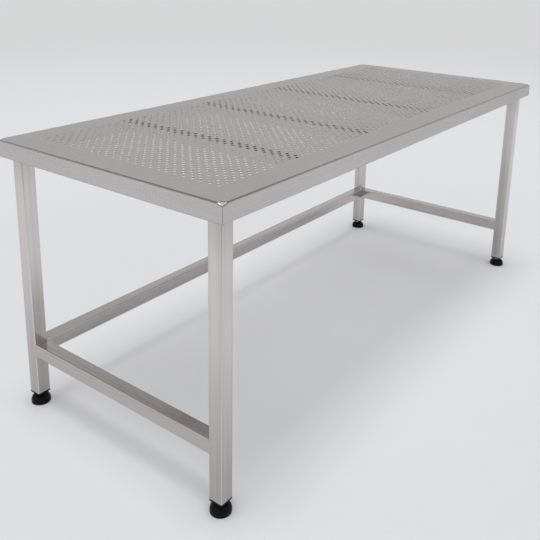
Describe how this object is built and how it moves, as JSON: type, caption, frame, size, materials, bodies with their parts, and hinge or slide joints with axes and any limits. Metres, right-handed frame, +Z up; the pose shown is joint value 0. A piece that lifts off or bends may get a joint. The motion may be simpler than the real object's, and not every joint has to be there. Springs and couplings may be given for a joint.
{
  "type": "cleanroom table",
  "caption": "Free-standing stainless table: perforated folded top on a welded square-tube frame with stretchers, open at the front, on swivel levelling feet.",
  "frame": {"origin": "on the floor under the middle of the table", "axes": "X along the length, Y from the open front to the rear, Z up"},
  "size_m": [1.8288, 0.762, 0.762],
  "materials": {
    "top_steel": "satin stainless sheet",
    "frame_steel": "satin stainless square tube",
    "black_plastic": "moulded black nylon",
    "plated_steel": "bright zinc-plated steel",
    "bush_brass": "turned brass"
  },
  "bodies": {
    "table": {"top_sheet": "top_steel", "cross_channel_1": "frame_steel", "cross_channel_2": "frame_steel", "cross_channel_3": "frame_steel", "cross_channel_4": "frame_steel", "rail_front": "frame_steel", "rail_rear": "frame_steel", "rail_left": "frame_steel", "rail_right": "frame_steel", "leg_front_left": "frame_steel", "leg_front_right": "frame_steel", "leg_rear_left": "frame_steel", "leg_rear_right": "frame_steel", "stretcher_left": "frame_steel", "stretcher_rear": "frame_steel", "stretcher_right": "frame_steel", "leg_plug_front_left": "black_plastic", "leg_plug_front_right": "black_plastic", "leg_plug_rear_left": "black_plastic", "leg_plug_rear_right": "black_plastic", "threaded_bushes": "bush_brass"},
    "foot_front_left": {"foot_pivot_front_left": "plated_steel"},
    "stud_front_left": {"foot_stud_front_left": "plated_steel"},
    "pad_front_left": {"foot_pad_front_left": "black_plastic"},
    "foot_front_right": {"foot_pivot_front_right": "plated_steel"},
    "stud_front_right": {"foot_stud_front_right": "plated_steel"},
    "pad_front_right": {"foot_pad_front_right": "black_plastic"},
    "foot_rear_left": {"foot_pivot_rear_left": "plated_steel"},
    "stud_rear_left": {"foot_stud_rear_left": "plated_steel"},
    "pad_rear_left": {"foot_pad_rear_left": "black_plastic"},
    "foot_rear_right": {"foot_pivot_rear_right": "plated_steel"},
    "stud_rear_right": {"foot_stud_rear_right": "plated_steel"},
    "pad_rear_right": {"foot_pad_rear_right": "black_plastic"}
  },
  "joints": [
    {"name": "foot_height_front_left", "type": "slide", "parent": "table", "child": "foot_front_left", "axis": [0, 0, -1], "range_m": [0, 0.021]},
    {"name": "stud_turn_front_left", "type": "hinge", "parent": "foot_front_left", "child": "stud_front_left", "pos_m": [-0.86995, -0.33655, 0.04], "axis": [0, 0, -1], "range_deg": [0, 4320]},
    {"name": "pad_tilt_front_left", "type": "hinge", "parent": "foot_front_left", "child": "pad_front_left", "pos_m": [-0.86995, -0.33655, 0.011], "axis": [0, 1, 0], "range_deg": [-8, 8]},
    {"name": "foot_height_front_right", "type": "slide", "parent": "table", "child": "foot_front_right", "axis": [0, 0, -1], "range_m": [0, 0.021]},
    {"name": "stud_turn_front_right", "type": "hinge", "parent": "foot_front_right", "child": "stud_front_right", "pos_m": [0.86995, -0.33655, 0.04], "axis": [0, 0, -1], "range_deg": [0, 4320]},
    {"name": "pad_tilt_front_right", "type": "hinge", "parent": "foot_front_right", "child": "pad_front_right", "pos_m": [0.86995, -0.33655, 0.011], "axis": [0, 1, 0], "range_deg": [-8, 8]},
    {"name": "foot_height_rear_left", "type": "slide", "parent": "table", "child": "foot_rear_left", "axis": [0, 0, -1], "range_m": [0, 0.021]},
    {"name": "stud_turn_rear_left", "type": "hinge", "parent": "foot_rear_left", "child": "stud_rear_left", "pos_m": [-0.86995, 0.33655, 0.04], "axis": [0, 0, -1], "range_deg": [0, 4320]},
    {"name": "pad_tilt_rear_left", "type": "hinge", "parent": "foot_rear_left", "child": "pad_rear_left", "pos_m": [-0.86995, 0.33655, 0.011], "axis": [0, 1, 0], "range_deg": [-8, 8]},
    {"name": "foot_height_rear_right", "type": "slide", "parent": "table", "child": "foot_rear_right", "axis": [0, 0, -1], "range_m": [0, 0.021]},
    {"name": "stud_turn_rear_right", "type": "hinge", "parent": "foot_rear_right", "child": "stud_rear_right", "pos_m": [0.86995, 0.33655, 0.04], "axis": [0, 0, -1], "range_deg": [0, 4320]},
    {"name": "pad_tilt_rear_right", "type": "hinge", "parent": "foot_rear_right", "child": "pad_rear_right", "pos_m": [0.86995, 0.33655, 0.011], "axis": [0, 1, 0], "range_deg": [-8, 8]}
  ],
  "couplings": [
    {"joint": "stud_turn_front_left", "follows": "foot_height_front_left", "rad_per_m": 3590.4},
    {"joint": "stud_turn_front_right", "follows": "foot_height_front_right", "rad_per_m": 3590.4},
    {"joint": "stud_turn_rear_left", "follows": "foot_height_rear_left", "rad_per_m": 3590.4},
    {"joint": "stud_turn_rear_right", "follows": "foot_height_rear_right", "rad_per_m": 3590.4}
  ]
}
